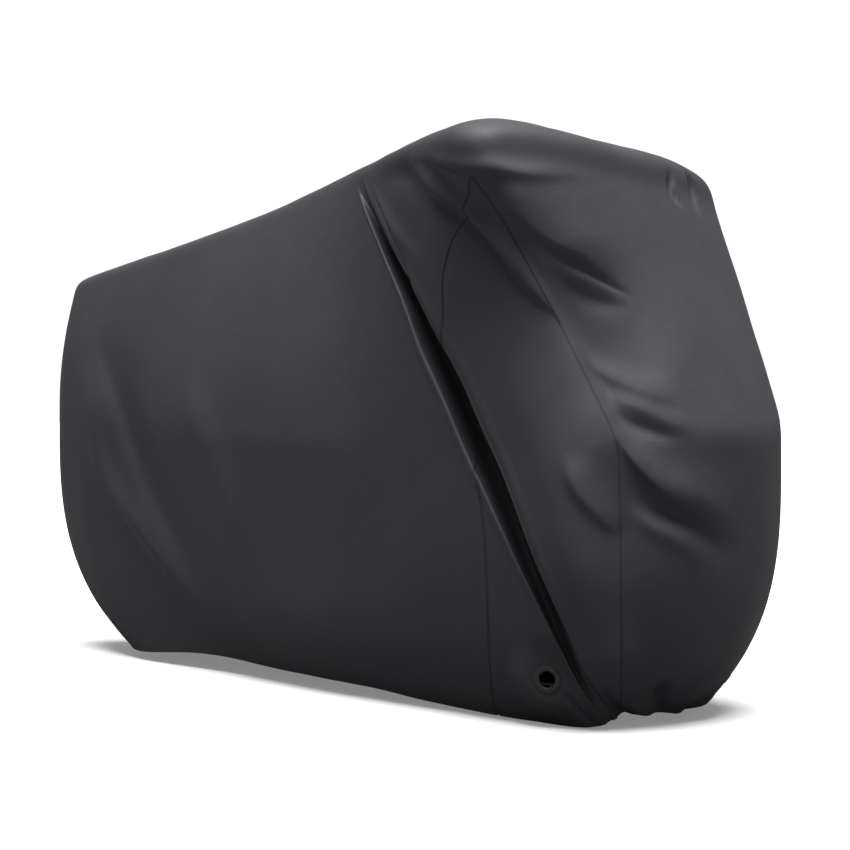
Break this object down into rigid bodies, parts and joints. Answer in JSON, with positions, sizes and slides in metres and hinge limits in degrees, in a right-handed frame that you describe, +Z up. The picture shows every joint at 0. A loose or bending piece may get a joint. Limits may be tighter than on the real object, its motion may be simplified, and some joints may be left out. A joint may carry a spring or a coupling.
{
  "type": "bicycle cover",
  "caption": "Fitted waterproof cloth cover draped over a bicycle, with a raised handlebar end, a seamed gore on each side and an eyelet near the foot of each gore.",
  "frame": {"origin": "on the level of the hem's lowest point, under the middle of the cover's box", "axes": "+X to the front with the handlebar, -Y the side shown in the picture, +Z up"},
  "size_m": [1.929, 0.7155, 1.0877],
  "materials": {
    "coated_cloth": "black polyester with a matte waterproof coating",
    "eyelet": "black moulded plastic"
  },
  "bodies": {
    "root": {"cover_body": "coated_cloth", "gore_right": "coated_cloth", "gore_left": "coated_cloth", "eyelet_right": "eyelet", "eyelet_left": "eyelet"}
  },
  "joints": []
}
